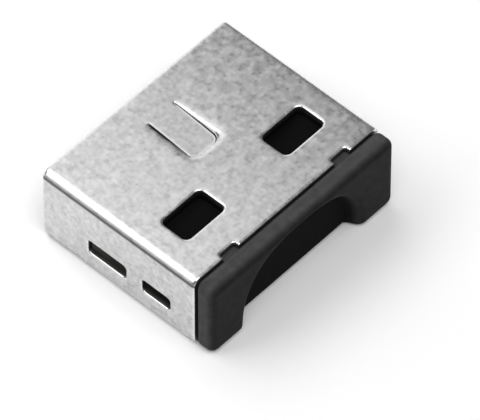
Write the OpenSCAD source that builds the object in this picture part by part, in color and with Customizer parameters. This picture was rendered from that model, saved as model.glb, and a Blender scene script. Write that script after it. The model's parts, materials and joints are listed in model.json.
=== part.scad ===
// Short USB plug adapter: a folded steel plug shell with a black end cap, and inside it
// a plastic contact carrier with a small radio circuit board.
// X runs across the plug, +Y points out of the plug's mouth, +Z is up, and the plug lies on Z = 0.

/* [Plug shell] */
// Outside width of the plug
shell_w = 12; // [11.6:0.1:15]
// Outside height of the plug
shell_h = 4.5; // [4.4:0.1:6]
// Length of the metal from its rear edge to the mouth
shell_len = 9.1; // [8.7:0.1:14]
// Thickness of the steel sheet
sheet_t = 0.3; // [0.2:0.02:0.38]
// Outside radius of the long bends
bend_r = 0.45; // [0.4:0.01:0.8]

/* [Latch windows] */
// Distance from the centre line to a window's near side
window_from_centre = 1.95; // [1.4:0.05:2.4]
// Width of a window across the plug
window_w = 2.55; // [1.5:0.05:2.9]
// Length of a window along the plug
window_l = 1.6; // [0.8:0.05:2.2]
// Corner radius of a window
window_r = 0.3; // [0.05:0.05:0.35]
// Distance from the metal's rear edge to a window
window_setback = 1.8; // [1:0.1:2.4]

/* [Pressed tab] */
// Width of the tab pressed into the upper sheet
tab_w = 1.6; // [0.8:0.1:2.4]
// Length of the tab from its root to its free end
tab_l = 2.7; // [1.5:0.1:3.3]
// Distance from the metal's rear edge to the free end
tab_setback = 4.8; // [3.4:0.1:5.2]
// How far the free end is pressed in
tab_drop = 0.28; // [0.05:0.01:0.34]
// Corner radius of the tab's free end
tab_end_r = 0.35; // [0.1:0.05:0.4]
// Width of the slit round the tab
tab_slit = 0.06; // [0.04:0.02:0.3]

/* [Shell edge and side slots] */
// Distance of a rear edge notch from the centre line
notch_from_centre = 3.6; // [2:0.1:4.5]
// Width of a rear edge notch
notch_w = 1; // [0.6:0.1:1.8]
// Depth of a rear edge notch
notch_depth = 0.28; // [0.1:0.02:0.6]
// Distance from the metal's rear edge to the rear side slot
rear_slot_setback = 1.45; // [1:0.05:1.8]
// Length of the rear side slot
rear_slot_l = 1.7; // [0.8:0.1:2.1]
// Height of the rear side slot
rear_slot_h = 0.8; // [0.5:0.05:1.3]
// Distance from the metal's rear edge to the front side slot
front_slot_setback = 4.1; // [3.9:0.05:5]
// Length of the front side slot
front_slot_l = 2.3; // [0.8:0.1:3]
// Height of the front side slot
front_slot_h = 0.85; // [0.5:0.05:1.3]
// Height of both side slots' upper edge below the contact face
slot_below_tongue = 0.25; // [0:0.05:0.5]
// Corner radius of a side slot
slot_r = 0.2; // [0.05:0.05:0.2]
// Width of the seam along the underside
seam_gap = 0.06; // [0.04:0.01:0.12]
// Width of the seam's dovetail at its neck
dovetail_neck = 1; // [0.6:0.1:1.6]
// Width of the seam's dovetail at its head
dovetail_head = 1.5; // [1:0.1:2.2]
// Reach of the dovetail across the seam
dovetail_l = 0.9; // [0.5:0.1:1.2]

/* [End cap] */
// How far the cap stands out behind the metal
cap_depth = 1.05; // [0.6:0.05:3]
// Length of the cap's plug inside the shell
cap_insert_l = 0.9; // [0.7:0.05:1]
// Step from the metal's outside face down to the cap's
cap_step = 0.05; // [0:0.01:0.1]
// Radius of the cap's rear corners
cap_corner_r = 0.4; // [0.2:0.05:0.6]
// Thickness of the lip at the top of the arched fingernail recess
lip_t = 0.4; // [0.2:0.05:1.5]
// Width of the fingernail recess in the cap's rear face
recess_w = 7.8; // [3:0.1:8.4]
// Squareness of the recess's arch: 2 is an ellipse, more is squarer
recess_power = 2.6; // [2:0.1:4]
// Size of the recess at its back wall, as a share of its size in the rear face
recess_taper = 0.88; // [0.7:0.01:1]
// Thickness of the wall left behind the recess
recess_wall_t = 0.08; // [0.05:0.01:0.3]

/* [Contact carrier] */
// Clear height under the carrier for the socket's tongue
hollow_h = 1.95; // [1.9:0.01:2]
// Gap from the carrier's side to the shell
tongue_side_gap = 0.15; // [0.05:0.01:0.3]
// Distance from the mouth back to the carrier's nose
tongue_setback = 0.4; // [0.1:0.05:1]
// Thickness of the carrier's side and nose walls
carrier_wall = 0.5; // [0.3:0.05:0.7]
// Clearance between the tallest part on the board and the carrier
parts_headroom = 0.05; // [0.02:0.01:0.1]
// Depth of the pockets under the windows
window_pocket = 0.25; // [0.05:0.05:0.3]
// Chamfer on the nose's lower edge
nose_chamfer = 0.3; // [0.05:0.05:0.4]

/* [Circuit board and contacts] */
// Thickness of the circuit board
board_t = 0.4; // [0.3:0.05:0.45]
// Width of the ledge that the board's rim seats on
board_ledge = 0.2; // [0.1:0.05:0.3]
// Distance from the metal's rear edge to the board's rear edge
board_setback = 0.4; // [0.25:0.05:0.6]
// Thickness of a contact
contact_t = 0.1; // [0.05:0.01:0.15]
// Width of a contact
contact_w = 1; // [0.8:0.05:1.2]
// Distance of an inner contact from the centre line
inner_contact_x = 1; // [0.9:0.05:1.2]
// Distance of an outer contact from the centre line
outer_contact_x = 3.5; // [3.3:0.05:3.7]
// Length of an outer contact
outer_contact_l = 6.4; // [5:0.1:6.9]
// How much nearer the mouth the outer contacts reach
contact_lead = 1; // [0.5:0.1:1.5]

/* [Parts on the board] */
// Side of the radio chip's square package
chip_side = 5; // [4:0.1:5.2]
// Height of the radio chip's package
chip_h = 0.8; // [0.5:0.05:0.82]
// Pitch of the radio chip's pads
chip_pitch = 0.4; // [0.4:0.05:0.65]
// Thickness of a leadless package's pads
chip_pad_t = 0.05; // [0.03:0.01:0.08]
// Thickness of the crystal's lid
crystal_lid_t = 0.18; // [0.1:0.02:0.3]
// Length, width and height of the chip antenna
antenna_size = [3.2, 1.6, 0.5];
// Length, width and height of the antenna filter
filter_size = [1.6, 0.8, 0.6];
// Length, width and height of the power inductor
inductor_size = [2, 1.6, 0.85];
// Length, width and height of the bulk capacitor
bulk_size = [1.6, 0.8, 0.8];
// Length, width and height of a small capacitor
capacitor_size = [1, 0.5, 0.5];
// Length, width and height of a small resistor
resistor_size = [1, 0.5, 0.35];
// Length, width and height of the crystal's ceramic base
crystal_size = [2, 1.6, 0.35];
// Length, width and height of the surge protector
protector_size = [1.2, 0.8, 0.5];

/* [Hidden] */
$fn = 64;

// Overrun of a cutting solid past the face it opens
cut = 0.1;
// Clearance of a piece that slides into another on assembly
fit = 0.03;

// Angle between the points of the recess's arch
arch_step = 6;

// Stations along the plug; the whole adapter is centred on Y = 0
overall_l = shell_len + cap_depth;
mouth_y = overall_l / 2;
rear_y = mouth_y - shell_len;
cap_y = -overall_l / 2;

// Levels through the height
inner_w = shell_w - 2 * sheet_t;
ceiling_z = shell_h - sheet_t;
tongue_z = sheet_t + hollow_h;
board_z = tongue_z + contact_t;
board_top = board_z + board_t;

// Carrier and board outlines
carrier_w = inner_w - 2 * tongue_side_gap;
carrier_rear = rear_y + cap_insert_l;
carrier_nose = mouth_y - tongue_setback;
board_w = carrier_w - 2 * carrier_wall - 2 * fit;
board_front = carrier_nose - carrier_wall - fit;
board_rear = rear_y + board_setback;
board_l = board_front - board_rear;
board_corner_r = 0.25;

// Underside of the carrier's upper skin, set by the tallest part below it
tallest_part = max(chip_pad_t + chip_h, antenna_size[2], filter_size[2], inductor_size[2],
    bulk_size[2], capacitor_size[2], resistor_size[2], crystal_size[2] + crystal_lid_t,
    chip_pad_t + protector_size[2]);
parts_ceiling = board_top + tallest_part + parts_headroom;

// Pressed tab stations
tab_free_y = rear_y + tab_setback;
tab_root_y = tab_free_y + tab_l;

// Radio chip: pads along each side of the package
chip_pad = [0.2, 0.4, chip_pad_t];
chip_pads_a_side = floor((chip_side - 1) / chip_pitch);
chip_centre_pad = chip_side * 0.62;
chip_dot_d = 0.35;
chip_dot_depth = 0.03;

// Crystal lid
crystal_rim = 0.1;

// End metal of the small parts
end_l = 0.2;
large_end_l = 0.35;
antenna_end_l = 0.3;
fillet_l = 0.12;
fillet_share = 0.6;

// Gaps left between neighbours on the board
part_gap = 0.25;

// Places on the board, each tied to the edges or the neighbour it is set out from
left_x = -board_w / 2 + board_ledge;
right_x = board_w / 2 - board_ledge;
front_y = board_front - board_ledge;
back_y = board_rear + part_gap / 2;
chip_x = left_x + capacitor_size[1] + 2 * part_gap + chip_side / 2;
chip_y = front_y - fit - chip_side / 2;
crystal_x = right_x - part_gap / 2 - crystal_size[0] / 2;
crystal_y = front_y - part_gap / 2 - crystal_size[1] / 2;
inductor_x = right_x - part_gap / 2 - fillet_l - inductor_size[0] / 2;
inductor_y = crystal_y - crystal_size[1] / 2 - part_gap - inductor_size[1] / 2;
protector_x = inductor_x;
protector_y = inductor_y - inductor_size[1] / 2 - part_gap - protector_size[1] / 2;
bulk_x = right_x - fillet_l - bulk_size[0] / 2;
bulk_y = protector_y - protector_size[1] / 2 - part_gap - bulk_size[1] / 2;
antenna_x = left_x + fillet_l + antenna_size[0] / 2;
antenna_y = back_y + antenna_size[1] / 2;
filter_x = antenna_x + antenna_size[0] / 2 + 2 * fillet_l + 3 * part_gap
    + 2 * resistor_size[1] + filter_size[0] / 2;
filter_y = back_y + filter_size[1] / 2;
column_x = chip_x + chip_side / 2 + part_gap + capacitor_size[1] / 2;
column_step = capacitor_size[0] + 2 * fillet_l + part_gap;
column_y = front_y - part_gap - fillet_l - capacitor_size[0] / 2;

// Small parts as [x, y, turn about Z in degrees]
matching_places = [for (i = [0:1])
    [antenna_x + antenna_size[0] / 2 + fillet_l + part_gap + resistor_size[1] / 2
        + i * (resistor_size[1] + part_gap), back_y + fillet_l + resistor_size[0] / 2, 90]];
capacitor_places = concat(
    [for (i = [0:2]) [left_x + capacitor_size[1] / 2 + fit, column_y - i * column_step, 90]],
    [for (i = [0:2]) [column_x, column_y - i * column_step, 90]]);
resistor_places = [for (i = [0:1])
    [right_x - resistor_size[1] / 2 - part_gap - i * (resistor_size[1] + 2 * part_gap),
        back_y + fillet_l + resistor_size[0] / 2, 90]];

// Rectangle centred on the origin with true arcs at its corners
module rounded_rect(w, h, r) {
    square([w - 2 * r, h], center = true);
    square([w, h - 2 * r], center = true);
    for (sx = [-1, 1], sy = [-1, 1])
        translate([sx * (w / 2 - r), sy * (h / 2 - r)]) circle(r);
}

// Draws an X-Z outline as a solid from y0 to y1
module along_y(y0, y1) {
    translate([0, y1, 0]) rotate([90, 0, 0]) linear_extrude(y1 - y0) children();
}

// Draws a Y-Z outline as a solid from x0 to x1
module along_x(x0, x1) {
    translate([x0, 0, 0]) rotate([90, 0, 90]) linear_extrude(x1 - x0) children();
}

// Draws an X-Y outline as a solid from z0 to z1
module along_z(z0, z1) {
    translate([0, 0, z0]) linear_extrude(z1 - z0) children();
}

// Repeats a piece on both sides of the centre plane
module both_sides() {
    children();
    mirror([1, 0, 0]) children();
}

// The plug's outside section, moved in by a margin
module plug_section(margin, r) {
    translate([0, shell_h / 2])
        rounded_rect(shell_w - 2 * margin, shell_h - 2 * margin, r);
}

// Plan of one latch window
module window_plan(grow = 0) {
    translate([window_from_centre + window_w / 2, rear_y + window_setback + window_l / 2])
        rounded_rect(window_w + 2 * grow, window_l + 2 * grow, window_r);
}

// Plan of the pressed tab, with two rounded corners at its free end
module tab_plan(grow = 0, past_root = 0) {
    half = tab_w / 2 + grow;
    corner_x = tab_w / 2 - tab_end_r;
    for (side = [-1, 1])
        translate([side * corner_x, tab_free_y + tab_end_r]) circle(tab_end_r + grow);
    translate([-corner_x, tab_free_y - grow])
        square([2 * corner_x, tab_l + grow + past_root]);
    translate([-half, tab_free_y + tab_end_r])
        square([2 * half, tab_l - tab_end_r + past_root]);
}

// The tab bent down from its root as a flat strip of the same sheet
module bent_tab() {
    intersection() {
        along_x(-tab_w, tab_w)
            polygon([[tab_root_y + cut, shell_h], [tab_root_y, shell_h],
                [tab_free_y, shell_h - tab_drop], [tab_free_y, ceiling_z - tab_drop],
                [tab_root_y, ceiling_z], [tab_root_y + cut, ceiling_z]]);
        along_z(0, shell_h + cut) tab_plan(0, cut);
    }
}

// Rounded notch in the upper sheet's rear edge
module notch_plan() {
    r = notch_depth / 2;
    translate([notch_from_centre, rear_y + notch_depth / 2 - cut])
        rounded_rect(notch_w, notch_depth + 2 * cut, r);
}

// Side slot as a Y-Z outline
module side_slot(setback, l, h) {
    top = tongue_z - slot_below_tongue;
    translate([rear_y + setback + l / 2, top - h / 2]) rounded_rect(l, h, slot_r);
}

// Line of the seam along the underside, with a dovetail that locks its two edges
module seam_plan() {
    g = seam_gap;
    n = dovetail_neck / 2;
    h = dovetail_head / 2;
    difference() {
        translate([-g / 2, rear_y - cut]) square([g, shell_len + 2 * cut]);
        square([4 * g, 2 * n], center = true);
    }
    difference() {
        polygon([[-g / 2, -n - g], [-g / 2, n + g], [dovetail_l + g, h + g], [dovetail_l + g, -h - g]]);
        polygon([[-g, -n], [0, -n], [dovetail_l, -h], [dovetail_l, h], [0, n], [-g, n]]);
    }
}

module shell() {
    color("silver") {
        difference() {
            along_y(rear_y, mouth_y) difference() {
                plug_section(0, bend_r);
                plug_section(sheet_t, bend_r - sheet_t);
            }
            both_sides() {
                along_z(-cut, shell_h + cut) window_plan();
                along_z(ceiling_z - cut, shell_h + cut) notch_plan();
                along_x(inner_w / 2 - cut, shell_w / 2 + cut) {
                    side_slot(rear_slot_setback, rear_slot_l, rear_slot_h);
                    side_slot(front_slot_setback, front_slot_l, front_slot_h);
                }
            }
            along_z(ceiling_z - cut, shell_h + cut) tab_plan(tab_slit);
            along_z(-cut, sheet_t + cut) seam_plan();
        }
        bent_tab();
    }
}

// Point of an arch outline at angle a, an ellipse whose shoulders are squared by a power
function arch_point(half_w, h, power, a) =
    [half_w * sign(cos(a)) * pow(abs(cos(a)), 2 / power), h * sign(sin(a)) * pow(abs(sin(a)), 2 / power)];

// Fingernail recess: an arch, open below, that narrows inward
module recess() {
    depth = cap_depth - recess_wall_t;
    // The outline is carried past the rear face at the recess's own slope
    over = 1 + (1 - recess_taper) * cut / depth;
    translate([0, cap_y - cut, 0]) rotate([-90, 0, 0])
        linear_extrude(depth + cut, scale = recess_taper / over)
            polygon([for (a = [0:arch_step:359])
                over * arch_point(recess_w / 2, shell_h - lip_t, recess_power, a)]);
}

module end_cap() {
    color("dimgray") difference() {
        union() {
            intersection() {
                along_y(cap_y, rear_y) plug_section(cap_step, bend_r);
                along_z(0, shell_h) translate([0, cap_y + shell_len / 2])
                    rounded_rect(shell_w - 2 * cap_step, shell_len, cap_corner_r);
            }
            along_y(rear_y - cap_depth / 4, carrier_rear) plug_section(sheet_t + fit, bend_r - sheet_t);
        }
        recess();
        // Pocket that takes the rear of the board and the parts on it
        translate([-board_w / 2 - fit, board_rear - fit, board_z])
            cube([board_w + 2 * fit, board_l, parts_ceiling - board_z]);
    }
}

module contact_carrier() {
    color("black") difference() {
        intersection() {
            union() {
                along_x(-carrier_w / 2, carrier_w / 2)
                    polygon([[carrier_rear, tongue_z], [carrier_nose - nose_chamfer, tongue_z],
                        [carrier_nose, tongue_z + nose_chamfer], [carrier_nose, ceiling_z],
                        [carrier_rear, ceiling_z]]);
                // Ribs that centre the carrier between the shell's sides
                for (y = [carrier_rear + shell_len / 8, carrier_nose - shell_len / 8])
                    translate([-inner_w / 2, y - carrier_wall / 2, tongue_z + carrier_wall / 2])
                        cube([inner_w, carrier_wall, ceiling_z - tongue_z - carrier_wall]);
            }
            // Upper corners follow the inside of the shell's bends
            along_y(rear_y, mouth_y) plug_section(sheet_t, bend_r - sheet_t);
        }
        // Seat of the board, open below and to the rear
        translate([-board_w / 2 - fit, carrier_rear - cut, tongue_z - cut])
            cube([board_w + 2 * fit, board_front + fit - carrier_rear + cut, board_top - tongue_z + cut]);
        // Room above the board for the parts on it
        translate([-board_w / 2 + board_ledge, carrier_rear - cut, board_top - cut])
            cube([board_w - 2 * board_ledge, front_y - carrier_rear + cut,
                parts_ceiling - board_top + cut]);
        both_sides() along_z(ceiling_z - window_pocket, ceiling_z + cut) window_plan(-fit);
        along_x(-tab_w / 2 - tab_slit, tab_w / 2 + tab_slit)
            polygon([[tab_root_y, ceiling_z], [tab_root_y, ceiling_z + cut],
                [tab_free_y - tab_slit, ceiling_z + cut],
                [tab_free_y - tab_slit, ceiling_z - tab_drop - fit],
                [tab_free_y, ceiling_z - tab_drop - fit]]);
    }
}

module circuit_board() {
    color("darkgreen") translate([0, board_rear + board_l / 2, board_z])
        linear_extrude(board_t) rounded_rect(board_w, board_l, board_corner_r);
}

// Contact plate whose front end lies a given distance behind the board's front edge
module contact(x, lead) {
    l = outer_contact_l - lead;
    color("gold") translate([x, board_front - board_ledge - lead - l / 2, tongue_z])
        linear_extrude(contact_t) rounded_rect(contact_w, l, contact_w / 4);
}

module contact_power() { contact(-outer_contact_x, 0); }
module contact_data_minus() { contact(-inner_contact_x, contact_lead); }
module contact_data_plus() { contact(inner_contact_x, contact_lead); }
module contact_ground() { contact(outer_contact_x, 0); }

// Stands a piece on the board's upper face
module on_board(x, y, turn = 0) {
    translate([x, y, board_top]) rotate([0, 0, turn]) children();
}

// Stands a copy of a piece at each place in a list
module at_places(places) {
    for (p = places) on_board(p[0], p[1], p[2]) children();
}

// Middle of a part that has metal at both ends
module part_middle(size, metal_l) {
    translate([metal_l - size[0] / 2, -size[1] / 2, 0])
        cube([size[0] - 2 * metal_l, size[1], size[2]]);
}

// Metal at both ends of a part
module part_ends(size, metal_l) {
    both_sides() translate([size[0] / 2 - metal_l, -size[1] / 2, 0])
        cube([metal_l, size[1], size[2]]);
}

// Solder run up against both ends of a part
module part_fillets(size) {
    both_sides() translate([size[0] / 2, size[1] / 2, 0]) rotate([90, 0, 0])
        linear_extrude(size[1])
            polygon([[0, 0], [fillet_l, 0], [fillet_l / 4, size[2] * fillet_share / 2],
                [0, size[2] * fillet_share]]);
}

module radio_chip() {
    color("darkslategray") on_board(chip_x, chip_y) difference() {
        translate([-chip_side / 2, -chip_side / 2, chip_pad[2]])
            cube([chip_side, chip_side, chip_h]);
        translate([-chip_side / 2 + 2 * chip_dot_d, chip_side / 2 - 2 * chip_dot_d,
            chip_pad[2] + chip_h - chip_dot_depth])
            cylinder(d = chip_dot_d, h = chip_dot_depth + cut);
    }
}

module radio_chip_pads() {
    color("gold") on_board(chip_x, chip_y) {
        for (side = [0:3]) rotate([0, 0, 90 * side])
            for (i = [0:chip_pads_a_side - 1])
                translate([(i - (chip_pads_a_side - 1) / 2) * chip_pitch - chip_pad[0] / 2,
                    chip_side / 2 - chip_pad[1], 0])
                    cube(chip_pad);
        translate([-chip_centre_pad / 2, -chip_centre_pad / 2, 0])
            cube([chip_centre_pad, chip_centre_pad, chip_pad[2]]);
    }
}

module crystal_base() {
    color("tan") on_board(crystal_x, crystal_y) linear_extrude(crystal_size[2])
        rounded_rect(crystal_size[0], crystal_size[1], crystal_rim);
}

module crystal_lid() {
    color("lightgray") on_board(crystal_x, crystal_y) translate([0, 0, crystal_size[2]])
        linear_extrude(crystal_lid_t)
            rounded_rect(crystal_size[0] - 2 * crystal_rim, crystal_size[1] - 2 * crystal_rim, crystal_rim);
}

module chip_antenna() {
    color("ivory") on_board(antenna_x, antenna_y) part_middle(antenna_size, antenna_end_l);
}

module antenna_ends() {
    color("silver") on_board(antenna_x, antenna_y) part_ends(antenna_size, antenna_end_l);
}

module antenna_filter() {
    color("lightblue") on_board(filter_x, filter_y) part_middle(filter_size, end_l);
}

module filter_ends() {
    color("silver") on_board(filter_x, filter_y) part_ends(filter_size, end_l);
}

module matching_parts() {
    color("slategray") at_places(matching_places) part_middle(resistor_size, end_l);
}

module matching_ends() {
    color("silver") at_places(matching_places) part_ends(resistor_size, end_l);
}

module power_inductor() {
    color("gray") on_board(inductor_x, inductor_y) part_middle(inductor_size, large_end_l);
}

module inductor_ends() {
    color("silver") on_board(inductor_x, inductor_y) part_ends(inductor_size, large_end_l);
}

module bulk_capacitor() {
    color("peru") on_board(bulk_x, bulk_y) part_middle(bulk_size, large_end_l);
}

module bulk_capacitor_ends() {
    color("silver") on_board(bulk_x, bulk_y) part_ends(bulk_size, large_end_l);
}

module small_capacitors() {
    color("burlywood") at_places(capacitor_places) part_middle(capacitor_size, end_l);
}

module capacitor_ends() {
    color("silver") at_places(capacitor_places) part_ends(capacitor_size, end_l);
}

module small_resistors() {
    color("black") at_places(resistor_places) part_middle(resistor_size, end_l);
}

module resistor_ends() {
    color("silver") at_places(resistor_places) part_ends(resistor_size, end_l);
}

module surge_protector() {
    color("dimgray") on_board(protector_x, protector_y) translate([0, 0, chip_pad[2]])
        linear_extrude(protector_size[2]) square([protector_size[0], protector_size[1]], center = true);
}

module protector_pads() {
    color("gold") on_board(protector_x, protector_y)
        for (sx = [-1, 0, 1], sy = [-1, 1])
            translate([sx * chip_pitch - chip_pad[0] / 2,
                sy * (protector_size[1] / 2 - chip_pad[0]) - chip_pad[0] / 2, 0])
                cube([chip_pad[0], chip_pad[0], chip_pad[2]]);
}

module solder_fillets() {
    color("gainsboro") {
        on_board(antenna_x, antenna_y) part_fillets(antenna_size);
        on_board(filter_x, filter_y) part_fillets(filter_size);
        on_board(inductor_x, inductor_y) part_fillets(inductor_size);
        on_board(bulk_x, bulk_y) part_fillets(bulk_size);
        at_places(matching_places) part_fillets(resistor_size);
        at_places(capacitor_places) part_fillets(capacitor_size);
        at_places(resistor_places) part_fillets(resistor_size);
    }
}

shell();
end_cap();
contact_carrier();
circuit_board();
contact_power();
contact_data_minus();
contact_data_plus();
contact_ground();
radio_chip();
radio_chip_pads();
crystal_base();
crystal_lid();
chip_antenna();
antenna_ends();
antenna_filter();
filter_ends();
matching_parts();
matching_ends();
power_inductor();
inductor_ends();
bulk_capacitor();
bulk_capacitor_ends();
small_capacitors();
capacitor_ends();
small_resistors();
resistor_ends();
surge_protector();
protector_pads();
solder_fillets();
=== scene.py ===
import json
import math

import bmesh
import bpy
import numpy as np
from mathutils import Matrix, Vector, geometry


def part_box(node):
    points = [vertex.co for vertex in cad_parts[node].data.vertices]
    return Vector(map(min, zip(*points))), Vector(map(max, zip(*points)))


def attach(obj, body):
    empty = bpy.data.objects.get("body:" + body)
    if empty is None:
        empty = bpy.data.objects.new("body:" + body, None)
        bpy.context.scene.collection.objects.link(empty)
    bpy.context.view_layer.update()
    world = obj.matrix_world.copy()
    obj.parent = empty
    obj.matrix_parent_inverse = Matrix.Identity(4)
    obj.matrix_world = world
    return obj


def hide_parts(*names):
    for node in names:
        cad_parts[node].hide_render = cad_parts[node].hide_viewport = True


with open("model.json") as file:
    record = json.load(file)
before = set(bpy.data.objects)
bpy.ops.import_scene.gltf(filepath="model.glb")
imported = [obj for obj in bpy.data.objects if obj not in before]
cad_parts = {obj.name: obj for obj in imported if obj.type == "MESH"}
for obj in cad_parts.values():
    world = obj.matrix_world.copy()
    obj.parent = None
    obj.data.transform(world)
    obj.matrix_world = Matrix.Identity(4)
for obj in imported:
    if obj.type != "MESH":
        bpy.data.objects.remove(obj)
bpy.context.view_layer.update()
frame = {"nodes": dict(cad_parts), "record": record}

# ---------------------------------------------------------------- sizes, in metres
MM = 0.001

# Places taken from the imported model
MOUTH_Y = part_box("shell")[1].y
REAR_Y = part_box("shell")[0].y
SHELL_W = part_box("shell")[1].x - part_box("shell")[0].x
SHELL_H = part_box("shell")[1].z
CAP_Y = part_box("end_cap")[0].y
CAP_INSERT_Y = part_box("end_cap")[1].y
CAP_HALF_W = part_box("end_cap")[1].x
CAP_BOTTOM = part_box("end_cap")[0].z
CAP_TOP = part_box("end_cap")[1].z
TONGUE_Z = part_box("contact_carrier")[0].z
BOARD_LOW, BOARD_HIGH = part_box("circuit_board")
PARTS_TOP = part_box("radio_chip")[1].z

# Folded sheet
SHEET = 0.3 * MM
BEND_R = 0.45 * MM
ROLL_W = 0.13 * MM
ROLL_DEPTH = 0.07 * MM

# Latch windows, the same in the upper and the lower sheet
WINDOW_FROM_CENTRE = 1.95 * MM
WINDOW_W = 2.55 * MM
WINDOW_L = 1.6 * MM
WINDOW_R = 0.3 * MM
WINDOW_SETBACK = 1.8 * MM

# Pressed tab
TAB_W = 1.6 * MM
TAB_L = 2.7 * MM
TAB_SETBACK = 4.8 * MM
TAB_DROP = 0.28 * MM
TAB_SLIT = 0.06 * MM
TAB_END_R = 0.35 * MM
TAB_PULL_W = 0.34 * MM
TAB_PULL = 0.13 * MM
TAB_CURVE = 1.2

# Notches in the rear edge, and slots in the side walls as (setback, length, height)
NOTCH_FROM_CENTRE = 3.6 * MM
NOTCH_W = 1.0 * MM
NOTCH_DEPTH = 0.28 * MM
SIDE_SLOTS = ((1.45 * MM, 1.7 * MM, 0.8 * MM), (4.1 * MM, 2.3 * MM, 0.85 * MM))
SLOT_BELOW_TONGUE = 0.25 * MM
SLOT_R = 0.2 * MM

# Seam along the underside
SEAM_GAP = 0.06 * MM
DOVETAIL_NECK = 1.0 * MM
DOVETAIL_HEAD = 1.5 * MM
DOVETAIL_L = 0.9 * MM

# End cap
CAP_FIT = 0.03 * MM
CAP_REAR_R = 0.38 * MM
CAP_FRONT_R = 0.24 * MM
CAP_GAP = 0.07 * MM
RECESS_HALF_W = 3.9 * MM
RECESS_TOP = 4.1 * MM
RECESS_POWER = 2.6
RECESS_TAPER = 0.88
RECESS_WALL = 0.08 * MM
RECESS_LIP_R = 0.2 * MM
RECESS_FLOOR_R = 0.3 * MM

# Painted highlight and painted shade lines along the plug's long bends, as turns from the flat
PAINTED_HIGHLIGHT_TURN = math.radians(36)
PAINTED_HIGHLIGHT_SPREAD = math.radians(26)
PAINTED_SHADE_TURN = math.radians(75)
PAINTED_SHADE_SPREAD = math.radians(15)

# Heights of the fine surface textures
STEEL_RELIEF = 0.0015 * MM
CAP_RELIEF = 0.008 * MM
CARRIER_RELIEF = 0.004 * MM
BOARD_RELIEF = 0.006 * MM
GOLD_RELIEF = 0.002 * MM
RESIN_RELIEF = 0.004 * MM
TIN_RELIEF = 0.003 * MM
SOLDER_RELIEF = 0.01 * MM
LID_RELIEF = 0.002 * MM
CERAMIC_RELIEF = 0.004 * MM
FLOOR_RELIEF = 0.01 * MM

# Depths into the recess, in millimetres, where the painted shade on the cap's plastic starts and
# ends
RECESS_SHADE_FROM = 0.1
RECESS_SHADE_TO = 0.5

# Steps of the meshes
SHEET_STEP = 0.22 * MM
BEND_STEPS = 12
CORNER_STEPS = 7
TAB_STEPS = 9
ROUND_SEGMENTS = 2
ROLL_ANGLES = (60, 30, 0)
CAP_STEP = 0.05 * MM
CAP_MARGIN_STEPS = 4
MERGE_GAP = MM / 10000
CLEAN_GAP = MM / 5000
EDGE_CLEARANCE = MM / 20

# Angles, in degrees: past these an edge stays sharp or is rounded, and within the last is flat
SHELL_SHARP = 42
CAP_SHARP = 60
INNER_SHARP = 40
ROUNDED_FROM = 35
FLAT_WITHIN = 1

# Runs of the sheet from the middle of the upper face: flat, bend, side, bend, flat
FLAT_RUN = SHELL_W / 2 - BEND_R
BEND_RUN = BEND_R * math.pi / 2
SIDE_RUN = SHELL_H - 2 * BEND_R
CENTRE_RUN = 2 * FLAT_RUN + 2 * BEND_RUN + SIDE_RUN


# ---------------------------------------------------------------- node writing
class Wire:
    """One socket of a node tree. Sums written on it add Math nodes to its tree."""

    def __init__(self, tree, socket):
        self.tree = tree
        self.socket = socket

    def put(self, kind, settings=None, inputs=None, out=0):
        """Adds a node of any type: its settings first, then its sockets' values or links."""
        node = self.tree.nodes.new(kind)
        for name, value in (settings or {}).items():
            setattr(node, name, value)
        for name, value in (inputs or {}).items():
            if isinstance(value, Wire):
                self.tree.links.new(value.socket, node.inputs[name])
            else:
                node.inputs[name].default_value = value
        return Wire(self.tree, node.outputs[out])

    def sum_of(self, operation, first, second=0.0):
        return self.put("ShaderNodeMath", {"operation": operation}, {0: first, 1: second})

    def __add__(self, other):
        return self.sum_of("ADD", self, other)

    def __radd__(self, other):
        return self.sum_of("ADD", other, self)

    def __sub__(self, other):
        return self.sum_of("SUBTRACT", self, other)

    def __rsub__(self, other):
        return self.sum_of("SUBTRACT", other, self)

    def __mul__(self, other):
        return self.sum_of("MULTIPLY", self, other)

    def __rmul__(self, other):
        return self.sum_of("MULTIPLY", other, self)

    def __truediv__(self, other):
        return self.sum_of("DIVIDE", self, other)

    def __rtruediv__(self, other):
        return self.sum_of("DIVIDE", other, self)

    def __pow__(self, other):
        return self.sum_of("POWER", self, other)

    def __neg__(self):
        return self.sum_of("MULTIPLY", self, -1.0)

    def __abs__(self):
        return self.sum_of("ABSOLUTE", self)

    def __lt__(self, other):
        return self.sum_of("LESS_THAN", self, other)

    def __gt__(self, other):
        return self.sum_of("GREATER_THAN", self, other)

    def least(self, other):
        return self.sum_of("MINIMUM", self, other)

    def most(self, other):
        return self.sum_of("MAXIMUM", self, other)

    def within(self, low, high):
        return self.most(low).least(high)

    def root(self):
        return self.sum_of("SQRT", self)

    def sine(self):
        return self.sum_of("SINE", self)

    def cosine(self):
        return self.sum_of("COSINE", self)

    def sign(self):
        return self.sum_of("SIGN", self)

    def axes(self):
        """The three numbers of a vector."""
        node = self.put("ShaderNodeSeparateXYZ", None, {0: self}).socket.node
        return [Wire(self.tree, socket) for socket in node.outputs]


def grey(value):
    return (value, value, value, 1.0)


def length_of(first, second):
    return (first * first + second * second).root()


def round_join(first, second, radius):
    """Distance to where two solids overlap, with a rounded outer edge between them."""
    a = first + radius
    b = second + radius
    outside = length_of(a.most(0.0), b.most(0.0))
    return outside + a.most(b).least(0.0) - radius


# ---------------------------------------------------------------- materials
def surface_material(name, build):
    """A material whose shader is built from the piece's own coordinates, in millimetres."""
    material = bpy.data.materials.new(name)
    material.use_nodes = True
    tree = material.node_tree
    tree.nodes.clear()
    place = Wire(tree, tree.nodes.new("ShaderNodeTexCoord").outputs["Object"])
    place = place.put("ShaderNodeVectorMath", {"operation": "SCALE"}, {0: place, "Scale": 1 / MM})
    shader = build(place)
    output = tree.nodes.new("ShaderNodeOutputMaterial")
    tree.links.new(shader.socket, output.inputs["Surface"])
    return material


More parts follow.
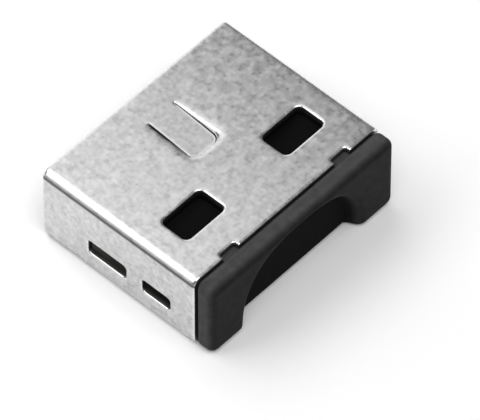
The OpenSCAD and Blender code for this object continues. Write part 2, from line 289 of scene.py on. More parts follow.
def noise(place, scale, detail=2.0, roughness=0.5, distortion=0.0):
    inputs = {"Vector": place, "Scale": scale, "Detail": detail,
              "Roughness": roughness, "Distortion": distortion}
    return place.put("ShaderNodeTexNoise", None, inputs)


def stretched(place, factors):
    """Coordinates drawn out along an axis, for marks that run one way."""
    return place.put("ShaderNodeVectorMath", {"operation": "MULTIPLY"}, {0: place, 1: factors})


def spread(value, low, high, from_low=0.3, from_high=0.7):
    """Carries a noise from its own spread to the one asked for."""
    inputs = {"Value": value, "From Min": from_low, "From Max": from_high,
              "To Min": low, "To Max": high}
    return value.put("ShaderNodeMapRange", None, inputs)


def mixed(factor, low, high):
    return factor.put("ShaderNodeMix", {"data_type": "RGBA"}, {0: factor, 6: low, 7: high}, out=2)


def bumped(height, distance):
    inputs = {"Height": height, "Distance": distance, "Strength": 1.0}
    return height.put("ShaderNodeBump", None, inputs)


def shaded(place, colour, roughness, normal, metallic=0.0, **fixed):
    """The piece's shader. Further keywords set the shader's own sockets, such as coat_weight."""
    inputs = {"Base Color": colour, "Roughness": roughness, "Normal": normal, "Metallic": metallic}
    for name, value in fixed.items():
        inputs[name.replace("_", " ").title().replace("Ior", "IOR")] = value
    return place.put("ShaderNodeBsdfPrincipled", None, inputs)


def plated_steel(place):
    """Satin nickel over stamped steel: mottled and lighter where worn near its cut edges, with a
    painted highlight and a painted shade line along the bends, and painted shade on its rougher
    inner face.
    """
    mottle = noise(place, 2.2, 2.0, 0.6)
    fine = noise(place, 5.0, 0.0, 0.5)
    lines = noise(stretched(place, (3.0, 0.4, 3.0)), 3.0, 1.0, 0.5)
    edge = place.put("ShaderNodeAttribute", {"attribute_name": "edge_gap"}, None, out="Fac")
    worn = 1.0 - (edge / ROLL_W).within(0.0, 1.0)
    inner = place.put("ShaderNodeAttribute", {"attribute_name": "inner_face"}, None, out="Fac")
    # Painted shade: the inner face is darkened, standing in for the shade inside the shell
    painted_inner_shade = (inner * 2.5).within(0.0, 1.0)
    turn = place.put("ShaderNodeAttribute", {"attribute_name": "fold_turn"}, None, out="Fac")
    # Painted highlight: a lighter band across each bend, where it would catch the light
    painted_light = (1.0 - abs(turn - PAINTED_HIGHLIGHT_TURN) / PAINTED_HIGHLIGHT_SPREAD).within(0.0, 1.0)
    # Painted shade: a dark line lower down each bend
    painted_bend_shade = (1.0 - abs(turn - PAINTED_SHADE_TURN) / PAINTED_SHADE_SPREAD).within(0.0, 1.0)
    tone = spread(mottle, 0.0, 0.5) + spread(fine, 0.0, 0.35) + spread(lines, 0.0, 0.15)
    colour = mixed(tone.within(0.0, 1.0), grey(0.4), grey(0.68))
    # Lighter near the cut edges as wear, and lighter on the bends as painted highlight
    colour = mixed((worn * 0.6).most(painted_light.root()), colour, grey(0.9))
    # Painted shade line darkens each bend lower down
    colour = mixed(painted_bend_shade.root() * 0.95, colour, grey(0.04))
    # Painted shade on the inner face
    colour = mixed(painted_inner_shade * 0.95, colour, grey(0.11))
    roughness = spread(mottle, 0.27, 0.34) + spread(fine, -0.02, 0.02) - worn * 0.08
    roughness = roughness - painted_light * 0.06 + painted_inner_shade * 0.2
    height = mottle * 0.5 + fine * 0.5
    return shaded(place, colour, roughness, bumped(height, STEEL_RELIEF), 1.0)


def spark_plastic(low, high, gloss, depth, shine):
    """Moulded plastic from a spark-textured tool, with a faint flow pattern."""
    def build(place):
        texture = noise(place, 13.0, 3.0, 0.6)
        flow = noise(stretched(place, (0.5, 1.0, 1.2)), 0.9, 2.0, 0.5)
        tone = texture * 0.6 + flow * 0.4
        colour = mixed(spread(tone, 0.0, 1.0), low, high)
        roughness = spread(texture, gloss - 0.07, gloss + 0.09)
        return shaded(place, colour, roughness, bumped(texture, depth), specular_ior_level=shine)
    return build


def cap_plastic(place):
    """Spark-textured black plastic with painted light: darker on faces turned to the rear, lighter
    on the rest, and darkest with painted shade in its recess.
    """
    texture = noise(place, 13.0, 3.0, 0.6)
    flow = noise(stretched(place, (0.5, 1.0, 1.2)), 1.4, 3.0, 0.6)
    blotch = noise(place, 2.6, 2.0, 0.55)
    tone = spread(texture, 0.0, 0.25) + spread(flow, 0.0, 0.35) + spread(blotch, 0.0, 0.4)
    # Painted light: faces turned to the rear get the darker tones, the top and sides the lighter
    # ones, as the light falls
    facing = place.put("ShaderNodeNewGeometry", None, None, out="Normal").axes()[1]
    painted_light = spread(facing, 0.0, 1.0, -0.85, -0.1)
    x, y, z = place.axes()
    # Painted shade: darker the deeper into the recess
    painted_recess_shade = spread(y, 0.0, 1.0, CAP_Y / MM + RECESS_SHADE_FROM, CAP_Y / MM + RECESS_SHADE_TO)
    painted_recess_shade = painted_recess_shade * (abs(x) < RECESS_HALF_W / MM) * (z < RECESS_TOP / MM)
    # Shaded and lit tones of the same black plastic
    low = mixed(painted_light, grey(0.01), grey(0.036))
    high = mixed(painted_light, grey(0.022), grey(0.072))
    colour = mixed(tone, low, high)
    # Painted shade in the recess
    colour = mixed(painted_recess_shade * 0.85, colour, grey(0.002))
    roughness = spread(texture, 0.5, 0.64) + painted_recess_shade * 0.2
    return shaded(place, colour, roughness, bumped(texture, CAP_RELIEF), specular_ior_level=0.05)


def laminate(place):
    """Green solder mask, with the glass weave and copper areas showing faintly through it."""
    across = (stretched(place, (1, 0, 0)).axes()[0] * 14.0).sine()
    along = (stretched(place, (0, 1, 0)).axes()[1] * 14.0).sine()
    weave = (across * along) * 0.5 + 0.5
    copper = noise(place, 0.9, 1.0, 0.3)
    copper = (spread(copper, 0.0, 1.0, 0.49, 0.51)).within(0.0, 1.0)
    colour = mixed(copper, (0.008, 0.075, 0.035, 1), (0.02, 0.16, 0.07, 1))
    colour = mixed(weave * 0.18, colour, (0.05, 0.2, 0.1, 1))
    height = weave * 0.25 + copper * 0.75
    roughness = spread(noise(place, 6.0, 2.0), 0.24, 0.36)
    return shaded(place, colour, roughness, bumped(height, BOARD_RELIEF), coat_weight=0.3)


def gold_plate(place):
    """Hard gold over nickel, wiped along its length."""
    wipe = noise(stretched(place, (14.0, 1.2, 14.0)), 2.0, 3.0, 0.6)
    cloud = noise(place, 1.6, 2.0, 0.5)
    tone = spread(wipe * 0.6 + cloud * 0.4, 0.0, 1.0)
    colour = mixed(tone, (0.78, 0.52, 0.19, 1), (0.92, 0.68, 0.3, 1))
    return shaded(place, colour, spread(wipe, 0.18, 0.34), bumped(wipe, GOLD_RELIEF), 1.0)


def chip_resin(place):
    """Black moulding compound with a fine matt tool finish and filler specks."""
    texture = noise(place, 26.0, 3.0, 0.65)
    specks = spread(noise(place, 40.0, 1.0, 0.4), 0.0, 1.0, 0.66, 0.72).within(0.0, 1.0)
    colour = mixed(spread(texture, 0.0, 1.0), grey(0.016), grey(0.032))
    colour = mixed(specks * 0.6, colour, grey(0.12))
    return shaded(place, colour, spread(texture, 0.48, 0.66), bumped(texture, RESIN_RELIEF))


def dull_tin(place):
    """Matt tin plate with its crystal grain."""
    cells = place.put("ShaderNodeTexVoronoi", {"feature": "F1"}, {"Vector": place, "Scale": 16.0})
    film = noise(place, 5.0, 3.0, 0.6)
    tone = spread(cells, 0.0, 0.6, 0.0, 0.7) + spread(film, 0.0, 0.4)
    colour = mixed(tone.within(0.0, 1.0), (0.58, 0.58, 0.57, 1), (0.78, 0.77, 0.75, 1))
    return shaded(place, colour, spread(film, 0.32, 0.5), bumped(cells, TIN_RELIEF), 1.0)


def bright_solder(place):
    """Solder that has flowed: smooth, with shallow pulled-in waves."""
    waves = noise(place, 7.0, 2.0, 0.5, 0.8)
    colour = mixed(spread(waves, 0.0, 1.0), (0.66, 0.66, 0.65, 1), (0.84, 0.84, 0.82, 1))
    return shaded(place, colour, spread(waves, 0.14, 0.28), bumped(waves, SOLDER_RELIEF), 1.0)


def seam_welded_lid(place):
    """Thin rolled lid, brushed across, a little yellow from the weld's heat."""
    lines = noise(stretched(place, (1.0, 16.0, 1.0)), 3.0, 3.0, 0.6)
    heat = noise(place, 1.3, 2.0, 0.5)
    colour = mixed(spread(heat, 0.0, 1.0), (0.55, 0.52, 0.44, 1), (0.68, 0.66, 0.6, 1))
    return shaded(place, colour, spread(lines, 0.24, 0.4), bumped(lines, LID_RELIEF), 1.0)


def fired_ceramic(low, high, gloss, grain_scale):
    """Pressed and fired ceramic: fine grain, small pores, edges of the same stuff."""
    def build(place):
        grain = noise(place, grain_scale, 4.0, 0.7)
        pores = spread(noise(place, grain_scale * 1.8, 1.0), 0.0, 1.0, 0.68, 0.74).within(0.0, 1.0)
        colour = mixed(spread(grain, 0.0, 1.0), low, high)
        colour = mixed(pores * 0.5, colour, grey(0.02))
        height = grain - pores * 0.5
        return shaded(place, colour, spread(grain, gloss - 0.06, gloss + 0.1),
                      bumped(height, CERAMIC_RELIEF))
    return build


FINISHES = {
    "plug_steel": plated_steel,
    "cap_plastic": cap_plastic,
    "carrier_plastic": spark_plastic(grey(0.0015), grey(0.004), 0.66, CARRIER_RELIEF, 0.04),
    "board_laminate": laminate,
    "contact_gold": gold_plate,
    "chip_resin": chip_resin,
    "tinned_copper": dull_tin,
    "crystal_ceramic": fired_ceramic((0.26, 0.2, 0.13, 1), (0.4, 0.33, 0.22, 1), 0.5, 18.0),
    "lid_metal": seam_welded_lid,
    "antenna_ceramic": fired_ceramic((0.68, 0.66, 0.6, 1), (0.84, 0.82, 0.76, 1), 0.4, 14.0),
    "filter_ceramic": fired_ceramic((0.36, 0.46, 0.52, 1), (0.5, 0.6, 0.66, 1), 0.38, 16.0),
    "inductor_ferrite": fired_ceramic(grey(0.06), grey(0.14), 0.55, 22.0),
    "capacitor_ceramic": fired_ceramic((0.34, 0.2, 0.1, 1), (0.5, 0.33, 0.19, 1), 0.42, 20.0),
    "resistor_coat": fired_ceramic(grey(0.01), grey(0.03), 0.22, 12.0),
    "solder": bright_solder,
}
MATERIALS = {slot: surface_material(slot, build) for slot, build in FINISHES.items()}


# ---------------------------------------------------------------- geometry trees
def shape_tree(name, numbers):
    """Starts a geometry tree with a mesh, named numbers and a finish as its inputs."""
    tree = bpy.data.node_groups.new(name, "GeometryNodeTree")
    tree.interface.new_socket("Mesh", in_out="INPUT", socket_type="NodeSocketGeometry")
    for label in numbers:
        tree.interface.new_socket(label, in_out="INPUT", socket_type="NodeSocketFloat")
    tree.interface.new_socket("Finish", in_out="INPUT", socket_type="NodeSocketMaterial")
    tree.interface.new_socket("Mesh", in_out="OUTPUT", socket_type="NodeSocketGeometry")
    source = tree.nodes.new("NodeGroupInput")
    return tree, {socket.name: Wire(tree, socket) for socket in source.outputs if socket.name}


def close_tree(shape, finish):
    """Ends a geometry tree: instances made real, the finish set, and its output linked."""
    real = shape.put("GeometryNodeRealizeInstances", None, {0: shape})
    done = real.put("GeometryNodeSetMaterial", None, {"Geometry": real, "Material": finish})
    sink = shape.tree.nodes.new("NodeGroupOutput")
    shape.tree.links.new(done.socket, sink.inputs[0])


def link_object(name, mesh):
    piece = bpy.data.objects.new(name, mesh)
    bpy.context.scene.collection.objects.link(piece)
    return piece


def settle(piece):
    """Turns a piece's modifiers into its plain mesh."""
    evaluated = piece.evaluated_get(bpy.context.evaluated_depsgraph_get())
    mesh = bpy.data.meshes.new_from_object(evaluated)
    piece.modifiers.clear()
    piece.data = mesh


def run_tree(name, mesh, tree, values):
    """Runs a geometry tree once on a mesh and keeps what it makes as a plain mesh."""
    piece = link_object(name, mesh)
    modifier = piece.modifiers.new(name, "NODES")
    modifier.node_group = tree
    for item in tree.interface.items_tree:
        if item.in_out == "INPUT" and item.name in values:
            modifier[item.identifier] = values[item.name]
    settle(piece)
    return piece


def smooth_faces(piece, sharp_angle):
    piece.data.shade_smooth()
    piece.data.set_sharp_from_angle(angle=math.radians(sharp_angle))


def hand_over(piece, slot, *nodes):
    """Gives a finished piece its finish and its place in the frame."""
    piece.data.materials.clear()
    piece.data.materials.append(MATERIALS[slot])
    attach(piece, "root")
    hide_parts(*nodes)


# ---------------------------------------------------------------- plug shell: its flat blank
def arc_points(cx, cy, radius, first, last, steps):
    angles = [math.radians(first + (last - first) * i / steps) for i in range(steps + 1)]
    return [(cx + radius * math.cos(a), cy + radius * math.sin(a)) for a in angles]


def rounded_outline(cx, cy, width, length, radius):
    """Closed outline with an arc at each corner."""
    points = []
    for sx, sy, first in ((1, 1, 0), (-1, 1, 90), (-1, -1, 180), (1, -1, 270)):
        middle_x = cx + sx * (width / 2 - radius)
        middle_y = cy + sy * (length / 2 - radius)
        points += arc_points(middle_x, middle_y, radius, first, first + 90, CORNER_STEPS)
    return points


def window_outlines():
    """The two upper and two lower latch windows, on the flat blank."""
    across = WINDOW_FROM_CENTRE + WINDOW_W / 2
    y = REAR_Y + WINDOW_SETBACK + WINDOW_L / 2
    places = (-across, across, CENTRE_RUN - across, across - CENTRE_RUN)
    return [rounded_outline(run, y, WINDOW_W, WINDOW_L, WINDOW_R) for run in places]


def side_slot_outlines():
    outlines = []
    for setback, slot_l, slot_h in SIDE_SLOTS:
        height = TONGUE_Z - SLOT_BELOW_TONGUE - slot_h / 2
        run = FLAT_RUN + BEND_RUN + SHELL_H - BEND_R - height
        for side in (-1, 1):
            y = REAR_Y + setback + slot_l / 2
            outlines.append(rounded_outline(side * run, y, slot_h, slot_l, SLOT_R))
    return outlines


def tab_slit_outline():
    """The U-shaped slit that frees the pressed tab on three sides."""
    inner = TAB_W / 2
    outer = inner + TAB_SLIT
    corner_x = inner - TAB_END_R
    turn_y = REAR_Y + TAB_SETBACK + TAB_END_R
    root_y = REAR_Y + TAB_SETBACK + TAB_L
    wide = TAB_END_R + TAB_SLIT
    points = [(-outer, root_y)]
    points += arc_points(-corner_x, turn_y, wide, 180, 270, TAB_STEPS)
    points += arc_points(corner_x, turn_y, wide, 270, 360, TAB_STEPS)
    points += [(outer, root_y), (inner, root_y)]
    points += arc_points(corner_x, turn_y, TAB_END_R, 360, 270, TAB_STEPS)
    points += arc_points(-corner_x, turn_y, TAB_END_R, 270, 180, TAB_STEPS)
    return points + [(-inner, root_y)]


def notch_points(side):
    """One rear notch, from left to right along the rear edge."""
    centre = side * NOTCH_FROM_CENTRE
    half = NOTCH_W / 2
    radius = NOTCH_DEPTH / 2
    inner_y = REAR_Y + NOTCH_DEPTH - radius
    left = arc_points(centre - half + radius, inner_y, radius, 180, 90, CORNER_STEPS)
    right = arc_points(centre + half - radius, inner_y, radius, 90, 0, CORNER_STEPS)
    return [(centre - half, REAR_Y)] + left + right + [(centre + half, REAR_Y)]


def seam_edges():
    """The blank's two long edges as (X on the underside, Y), each from mouth to rear."""
    gap = SEAM_GAP / 2
    neck = DOVETAIL_NECK / 2
    head = DOVETAIL_HEAD / 2
    tongue = [(-gap, neck), (0, neck), (DOVETAIL_L, head),
              (DOVETAIL_L, -head), (0, -neck), (-gap, -neck)]
    deep = DOVETAIL_L + SEAM_GAP
    slope = (head - neck) / (deep + gap)
    socket_neck = neck + SEAM_GAP + slope * SEAM_GAP
    socket = [(gap, socket_neck), (deep, head + SEAM_GAP),
              (deep, -head - SEAM_GAP), (gap, -socket_neck)]
    left = [(-gap, MOUTH_Y)] + tongue + [(-gap, REAR_Y)]
    right = [(gap, MOUTH_Y)] + socket + [(gap, REAR_Y)]
    return left, right


def blank_stations(low, high):
    """Places across the blank, close together where it is bent."""
    marks = [0, FLAT_RUN, FLAT_RUN + BEND_RUN, FLAT_RUN + BEND_RUN + SIDE_RUN,
             FLAT_RUN + 2 * BEND_RUN + SIDE_RUN, CENTRE_RUN]
    runs = set()
    for i, (first, last) in enumerate(zip(marks, marks[1:])):
        steps = BEND_STEPS if i in (1, 3) else math.ceil((last - first) / SHEET_STEP)
        runs.update(first + (last - first) * k / steps for k in range(steps))
    both = sorted(set(runs) | {-run for run in runs})
    return [run for run in both if low < run < high]


def stations_clear_of(low, high):
    """Places across the blank between two corners of its outline, clear of both."""
    return blank_stations(low + EDGE_CLEARANCE, high - EDGE_CLEARANCE)


def blank_outline():
    """The sheet's own outline, turning left all the way round."""
    left, right = seam_edges()
    left = [(-(CENTRE_RUN + x), y) for x, y in left]
    right = [(CENTRE_RUN - x, y) for x, y in reversed(right)]
    rear = []
    start = left[-1][0]
    for side in (-1, 1):
        notch = notch_points(side)
        rear += [(run, REAR_Y) for run in stations_clear_of(start, notch[0][0])]
        rear += notch
        start = notch[-1][0]
    rear += [(run, REAR_Y) for run in stations_clear_of(start, right[0][0])]
    mouth = stations_clear_of(left[0][0], right[-1][0])
    return left + rear + right + [(run, MOUTH_Y) for run in reversed(mouth)]


def divided(loop, step):
    """A closed loop with points added along its long edges."""
    points = []
    for (x0, y0), (x1, y1) in zip(loop, loop[1:] + loop[:1]):
        parts = max(1, math.ceil(math.hypot(x1 - x0, y1 - y0) / step))
        points += [(x0 + (x1 - x0) * i / parts, y0 + (y1 - y0) * i / parts) for i in range(parts)]
    return points


def offset_loop(loop, distance):
    """A left-turning loop moved to its right by a distance, with mitred corners."""
    points = np.array(loop)
    step = np.roll(points, -1, axis=0) - points
    step /= np.linalg.norm(step, axis=1)[:, None]
    normal = np.stack([step[:, 1], -step[:, 0]], axis=1)
    before = np.roll(normal, 1, axis=0)
    turn = 1 + (normal * before).sum(axis=1)
    return points + distance * (normal + before) / turn[:, None]


def edge_distances(points, loops):
    """Distance from each point to the nearest edge of any loop."""
    nearest = np.full(len(points), 1.0)
    for loop in loops:
        start = np.array(loop)
        step = np.roll(start, -1, axis=0) - start
        away = points[:, None, :] - start[None, :, :]
        share = (away * step).sum(axis=2) / (step * step).sum(axis=1)
        foot = away - np.clip(share, 0, 1)[:, :, None] * step
        nearest = np.minimum(nearest, np.sqrt((foot * foot).sum(axis=2)).min(axis=1))
    return nearest


def inside_loops(points, loops):
    """True for points that an odd number of loops surround."""
    inside = np.zeros(len(points), bool)
    for loop in loops:
        start = np.array(loop)
        end = np.roll(start, -1, axis=0)
        x, y = points[:, 0:1], points[:, 1:2]
        spans = (start[:, 1] > y) != (end[:, 1] > y)
        rise = np.where(end[:, 1] == start[:, 1], 1.0, end[:, 1] - start[:, 1])
        cross_x = start[:, 0] + (y - start[:, 1]) * (end[:, 0] - start[:, 0]) / rise
        inside ^= ((spans & (x < cross_x)).sum(axis=1) % 2).astype(bool)
    return inside


def flat_blank():
    """The cut sheet before it is folded, as one flat mesh that knows how near each edge is."""
    openings = window_outlines() + side_slot_outlines() + [tab_slit_outline()]
    openings = [divided(loop, SHEET_STEP) for loop in openings]
    outline = divided(blank_outline(), SHEET_STEP)
    loops = [outline] + openings
    fixed = [np.array(loop) for loop in loops]
    for angle in ROLL_ANGLES:
        ring = ROLL_W * (1 - math.sin(math.radians(angle)))
        fixed.append(offset_loop(outline, -ring))
        fixed += [offset_loop(loop, ring) for loop in openings]
    runs = blank_stations(-CENTRE_RUN - DOVETAIL_L, CENTRE_RUN + DOVETAIL_L)
    rows = np.arange(REAR_Y, MOUTH_Y, SHEET_STEP)
    grid = np.array([(run, y) for run in runs for y in rows])
    clear = edge_distances(grid, loops) > ROLL_W + SHEET_STEP / 4
    grid = grid[clear & inside_loops(grid, loops)]

    points = []
    edges = []
    for loop in fixed:
        first = len(points)
        points += [Vector(p) / MM for p in loop.tolist()]
        count = len(loop)
        edges += [(first + i, first + (i + 1) % count) for i in range(count)]
    points += [Vector(p) / MM for p in grid.tolist()]
    flat, _, faces, *_ = geometry.delaunay_2d_cdt(points, edges, [], 0, 1e-6)
    flat = np.array([tuple(p) for p in flat]) * MM
    middles = np.array([flat[list(face)].mean(axis=0) for face in faces])
    kept = [list(face) for face, inside in zip(faces, inside_loops(middles, loops)) if inside]

    mesh = bpy.data.meshes.new("plug_blank")
    mesh.from_pydata([(x, y, 0.0) for x, y in flat.tolist()], [], kept)
    mesh.attributes.new("edge_gap", "FLOAT", "POINT")
    mesh.attributes["edge_gap"].data.foreach_set("value", edge_distances(flat, loops))
    work = bmesh.new()
    work.from_mesh(mesh)
    loose = [vert for vert in work.verts if not vert.link_faces]
    bmesh.ops.delete(work, geom=loose, context="VERTS")
    for face in work.faces:
        if face.normal.z < 0:
            face.normal_flip()
    work.to_mesh(mesh)
    work.free()
    return mesh


# ---------------------------------------------------------------- plug shell: folding it
FOLD_NUMBERS = ("Flat run", "Bend radius", "Side run", "Height", "Sheet", "Roll width",
                "Roll depth", "Tab corner from centre", "Tab corner radius", "Tab turn",
                "Tab root", "Tab length", "Tab drop", "Pull width", "Pull")


def folding_tree():
    """Thickens the flat blank, presses its tab, rolls its cut edges and folds it round."""
    tree, given = shape_tree("fold_plug_shell", FOLD_NUMBERS)
    flat = given["Mesh"]
    sheet = given["Sheet"]
    raised = {"Mesh": flat, "Offset Scale": sheet, "Individual": False}
    outer = flat.put("GeometryNodeExtrudeMesh", {"mode": "FACES"}, raised)
    inner = flat.put("GeometryNodeFlipFaces", None, {0: flat})
    both = flat.put("GeometryNodeJoinGeometry")
    tree.links.new(outer.socket, both.socket.node.inputs[0])
    tree.links.new(inner.socket, both.socket.node.inputs[0])
    joined = {"Geometry": both, "Distance": MERGE_GAP}
    solid = both.put("GeometryNodeMergeByDistance", None, joined)

    run, y, level = flat.put("GeometryNodeInputPosition").axes()
    gap = flat.put("GeometryNodeInputNamedAttribute", {"data_type": "FLOAT"}, {"Name": "edge_gap"})
    near = 1.0 - (gap / given["Roll width"]).within(0.0, 1.0)
    on_outer = level > sheet * 0.5
    from_turn = (y - given["Tab turn"]).least(0.0)
    from_side = (abs(run) - given["Tab corner from centre"]).most(0.0)
    from_tab = length_of(from_side, from_turn) - given["Tab corner radius"]
    in_tab = (from_tab < 0.0) * (y < given["Tab root"])
    rolled = 1.0 - (1.0 - near * near).most(0.0).root()
    roll = on_outer * (1.0 - in_tab) * given["Roll depth"] * rolled
    bent = ((given["Tab root"] - y) / given["Tab length"]).within(0.0, 1.0)
    pull = (1.0 - from_tab / given["Pull width"]).within(0.0, 1.0)
    pull = (1.0 - in_tab) * pull * pull * bent.root() * given["Pull"]

    radius = given["Bend radius"]
    bend_run = radius * (math.pi / 2)
    travel = abs(run)
    depth = sheet - level + roll + pull + in_tab * bent ** TAB_CURVE * given["Tab drop"]

    top = travel.least(given["Flat run"])
    turn_1 = (travel - given["Flat run"]).within(0.0, bend_run) / radius
    past = travel - given["Flat run"] - bend_run
    down = past.within(0.0, given["Side run"])
    turn_2 = (past - given["Side run"]).within(0.0, bend_run) / radius
    back = (past - given["Side run"] - bend_run).most(0.0)
    x = top + radius * turn_1.sine() - radius * (1.0 - turn_2.cosine()) - back
    z = given["Height"] - radius * (1.0 - turn_1.cosine()) - down - radius * turn_2.sine()
    heading = turn_1 + turn_2
    x = run.sign() * (x - depth * heading.sine())
    z = z - depth * heading.cosine()
    place = flat.put("ShaderNodeCombineXYZ", None, {0: x, 1: y, 2: z})
    marked = {"Geometry": solid, "Name": "inner_face", "Value": level < sheet * 0.5}
    solid = solid.put("GeometryNodeStoreNamedAttribute",
                      {"data_type": "FLOAT", "domain": "POINT"}, marked)
    marked = {"Geometry": solid, "Name": "fold_turn", "Value": turn_1 * on_outer}
    solid = solid.put("GeometryNodeStoreNamedAttribute",
                      {"data_type": "FLOAT", "domain": "POINT"}, marked)
    folded = solid.put("GeometryNodeSetPosition", None, {"Geometry": solid, "Position": place})
    close_tree(folded, given["Finish"])
    return tree


def make_plug_shell():
    values = {
        "Flat run": FLAT_RUN, "Bend radius": BEND_R, "Side run": SIDE_RUN, "Height": SHELL_H,
        "Sheet": SHEET, "Roll width": ROLL_W, "Roll depth": ROLL_DEPTH,
        "Tab corner from centre": TAB_W / 2 - TAB_END_R,
        "Tab corner radius": TAB_END_R + TAB_SLIT / 2,
        "Tab turn": REAR_Y + TAB_SETBACK + TAB_END_R,
        "Pull width": TAB_PULL_W, "Pull": TAB_PULL,
        "Tab root": REAR_Y + TAB_SETBACK + TAB_L, "Tab length": TAB_L, "Tab drop": TAB_DROP,
        "Finish": MATERIALS["plug_steel"],
    }
    piece = run_tree("folded_plug_shell", flat_blank(), folding_tree(), values)
    smooth_faces(piece, SHELL_SHARP)
    hand_over(piece, "plug_steel", "shell")


# ---------------------------------------------------------------- end cap
CAP_NUMBERS = ("Half width", "Bottom", "Top", "Corner radius", "Rear", "Front", "Insert end",
               "Insert inset", "Rear radius", "Front radius", "Recess half width", "Recess top",
               "Recess power", "Recess taper", "Recess floor", "Lip radius", "Floor radius",
               "Pocket half width", "Pocket rear", "Pocket bottom", "Pocket top")


def slab(value, low, high):
    """Distance to a layer between two levels."""
    return (low - value).most(value - high)


def cap_tree():
    """The cap as a field of distances, in millimetres, less than zero inside it."""
    tree, given = shape_tree("mould_end_cap", CAP_NUMBERS)
    mesh = given["Mesh"]
    x, y, z = mesh.put("GeometryNodeInputPosition").axes()
    across = abs(x)

    section = round_join(across - given["Half width"], slab(z, given["Bottom"], given["Top"]),
                         given["Corner radius"])
    block = round_join(section, given["Rear"] - y, given["Rear radius"])
    block = round_join(block, y - given["Front"], given["Front radius"])

    power = given["Recess power"]
    arch = (across / given["Recess half width"]) ** power
    arch = (arch + (z.most(0.0) / given["Recess top"]) ** power) ** (1.0 / power)
    depth_share = (y - given["Rear"]) / (given["Recess floor"] - given["Rear"])
    arch = (arch - 1.0 + (1.0 - given["Recess taper"]) * depth_share) * given["Recess half width"]
    recess = round_join(arch, y - given["Recess floor"], given["Floor radius"])
    block = round_join(block, -recess, given["Lip radius"])

    inset = given["Insert inset"]
    insert = round_join(across - given["Half width"] + inset,
                        slab(z, given["Bottom"] + inset, given["Top"] - inset), inset)
    insert = insert.most(slab(y, given["Front"] - inset, given["Insert end"]))
    pocket = (across - given["Pocket half width"]).most(
        slab(z, given["Pocket bottom"], given["Pocket top"]))
    pocket = pocket.most(given["Pocket rear"] - y)
    solid = block.least(insert.most(-pocket))
    return tree, given, solid


def make_end_cap():
    tree, given, solid = cap_tree()
    margin = CAP_MARGIN_STEPS * CAP_STEP / MM
    low = (-CAP_HALF_W / MM - margin, CAP_Y / MM - margin, CAP_BOTTOM / MM - margin)
    high = (CAP_HALF_W / MM + margin, CAP_INSERT_Y / MM + margin, CAP_TOP / MM + margin)
    counts = [round((b - a) * MM / CAP_STEP) + 1 for a, b in zip(low, high)]
    room = {"Density": -solid, "Background": -1.0, "Min": low, "Max": high,
            "Resolution X": counts[0], "Resolution Y": counts[1], "Resolution Z": counts[2]}
    cloud = solid.put("GeometryNodeVolumeCube", None, room)
    skin = cloud.put("GeometryNodeVolumeToMesh", None, {"Volume": cloud, "Threshold": 0.0})
    sized = skin.put("GeometryNodeTransform", None, {"Geometry": skin, "Scale": (MM, MM, MM)})
    close_tree(sized, given["Finish"])
    values = {
        "Half width": CAP_HALF_W, "Bottom": CAP_BOTTOM, "Top": CAP_TOP, "Corner radius": BEND_R,
        "Rear": CAP_Y, "Front": REAR_Y - CAP_GAP, "Insert end": CAP_INSERT_Y,
        "Insert inset": SHEET + CAP_FIT - SHELL_W / 2 + CAP_HALF_W, "Rear radius": CAP_REAR_R,
        "Front radius": CAP_FRONT_R, "Recess half width": RECESS_HALF_W, "Recess top": RECESS_TOP,
        "Recess floor": REAR_Y - CAP_GAP - RECESS_WALL, "Lip radius": RECESS_LIP_R,
        "Floor radius": RECESS_FLOOR_R, "Pocket half width": BOARD_HIGH.x + CAP_FIT,
        "Pocket rear": BOARD_LOW.y - CAP_FIT, "Pocket bottom": BOARD_LOW.z,
        "Pocket top": PARTS_TOP + CAP_FIT,
    }
    values = {name: value / MM for name, value in values.items()}
    values.update({"Recess power": RECESS_POWER, "Recess taper": RECESS_TAPER,
                   "Finish": MATERIALS["cap_plastic"]})
    piece = run_tree("moulded_end_cap", bpy.data.meshes.new("cap_start"), tree, values)
    smooth_faces(piece, CAP_SHARP)
    hand_over(piece, "cap_plastic", "end_cap")


# ---------------------------------------------------------------- inner pieces
EDGE_WIDTHS = {
    "contact_carrier": 0.05, "circuit_board": 0.03, "radio_chip": 0.05, "radio_chip_pads": 0.012,
    "crystal_base": 0.06, "crystal_lid": 0.05, "chip_antenna": 0.06, "antenna_ends": 0.05,
    "antenna_filter": 0.05, "filter_ends": 0.05, "matching_parts": 0.04, "matching_ends": 0.04,
    "power_inductor": 0.06, "inductor_ends": 0.06, "bulk_capacitor": 0.06,
    "bulk_capacitor_ends": 0.06, "small_capacitors": 0.04, "capacitor_ends": 0.04,
    "small_resistors": 0.03, "resistor_ends": 0.03, "surge_protector": 0.05,
    "protector_pads": 0.012, "solder_fillets": 0.02, "contact_power": 0.03,
    "contact_data_minus": 0.03, "contact_data_plus": 0.03, "contact_ground": 0.03,
}


def softened_copy(node, width):
    """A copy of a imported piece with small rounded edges."""
    mesh = frame["nodes"][node].data.copy()
    work = bmesh.new()
    work.from_mesh(mesh)
    bmesh.ops.remove_doubles(work, verts=work.verts, dist=CLEAN_GAP)
    bmesh.ops.dissolve_limit(work, angle_limit=math.radians(FLAT_WITHIN), verts=work.verts,
                             edges=work.edges)
    work.to_mesh(mesh)
    work.free()
    piece = link_object(node + "_finished", mesh)
    bevel = piece.modifiers.new("edges", "BEVEL")
    bevel.width = width
    bevel.segments = ROUND_SEGMENTS
    bevel.limit_method = "ANGLE"
    bevel.angle_limit = math.radians(ROUNDED_FROM)
    bevel.use_clamp_overlap = True
    settle(piece)
    smooth_faces(piece, INNER_SHARP)
    return piece


def make_inner_pieces():
    slots = {row["node"]: row["material_slot"] for row in frame["record"]["subparts"]}
    for node, width in EDGE_WIDTHS.items():
        hand_over(softened_copy(node, width * MM), slots[node], node)


make_plug_shell()
make_end_cap()
make_inner_pieces()


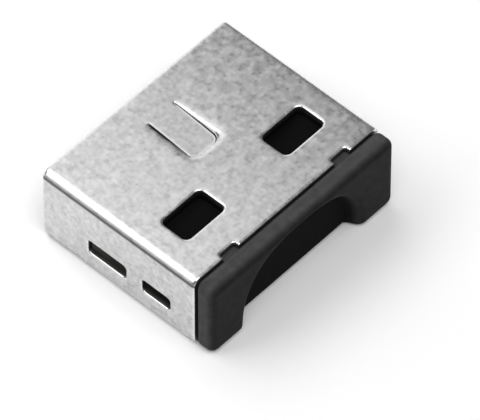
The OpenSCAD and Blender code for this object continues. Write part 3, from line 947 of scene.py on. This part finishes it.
# ---------------------------------------------------------------- floor, light and camera
FLOOR_HALF = 0.5
SKY_STRENGTH = 0.18
VIEW_AZIMUTH = -47.3
VIEW_ELEVATION = 51.8
VIEW_TARGET = Vector((0.95 * MM, -0.36 * MM, 0))
LENS = 600
SENSOR = 36
FRAME_WIDTH = 21.36 * MM
CLIP_NEAR = 0.001
CLIP_FAR = 10


def pale_board(place):
    """Plain pale floor with the faintest clouding."""
    colour = mixed(noise(place, 0.02), grey(0.93), grey(0.96))
    return shaded(place, colour, 0.9, bumped(noise(place, 0.5), FLOOR_RELIEF))


def make_floor():
    mesh = bpy.data.meshes.new("floor")
    corners = [(x * FLOOR_HALF, y * FLOOR_HALF, 0) for x, y in ((-1, -1), (1, -1), (1, 1), (-1, 1))]
    mesh.from_pydata(corners, [], [(0, 1, 2, 3)])
    floor = link_object("floor", mesh)
    mesh.materials.append(surface_material("pale_floor", pale_board))


def aim(obj, target):
    obj.rotation_euler = (target - obj.location).to_track_quat("-Z", "Y").to_euler()


def panel(name, centre, target, size, glow):
    """A soft light panel, sized in millimetres, with the brightness its own face shows."""
    data = bpy.data.lights.new(name, "AREA")
    data.shape = "RECTANGLE"
    data.size = size[0] * MM
    data.size_y = size[1] * MM
    data.energy = glow * math.pi * data.size * data.size_y
    light = link_object(name, data)
    light.location = Vector(centre) * MM
    light.visible_camera = False
    aim(light, Vector(target) * MM)


def make_studio():
    panel("upper_panel", (13, 25, 48), (13, 25, 0), (27, 42), 1.22)
    panel("ridge_panel", (-20, 26, 46), (-14, 20, 0), (54, 32), 1.9)
    panel("left_panel", (-66, 32, 46), (-4, 0, 3), (40, 58), 1.25)
    panel("mouth_panel", (46, 84, 42), (0, 0, 3), (90, 74), 1.2)
    panel("key_panel", (-60, 110, 150), (0, 0, 0), (90, 90), 0.9)
    panel("high_panel", (-25, -75, 165), (0, 0, 0), (170, 130), 3.25)
    world = bpy.data.worlds.new("studio")
    world.use_nodes = True
    sky = world.node_tree.nodes["Background"]
    sky.inputs["Color"].default_value = grey(1.0)
    sky.inputs["Strength"].default_value = SKY_STRENGTH
    bpy.context.scene.world = world
    bpy.context.scene.view_settings.view_transform = "Standard"


def make_camera():
    data = bpy.data.cameras.new("view")
    data.lens = LENS
    data.sensor_width = SENSOR
    data.clip_start = CLIP_NEAR
    data.clip_end = CLIP_FAR
    camera = link_object("view", data)
    turn = math.radians(VIEW_AZIMUTH)
    rise = math.radians(VIEW_ELEVATION)
    level = math.cos(rise)
    back = Vector((math.sin(turn) * level, -math.cos(turn) * level, math.sin(rise)))
    camera.location = VIEW_TARGET + back * (FRAME_WIDTH * LENS / SENSOR)
    aim(camera, VIEW_TARGET)
    bpy.context.scene.camera = camera


make_floor()
make_studio()
make_camera()
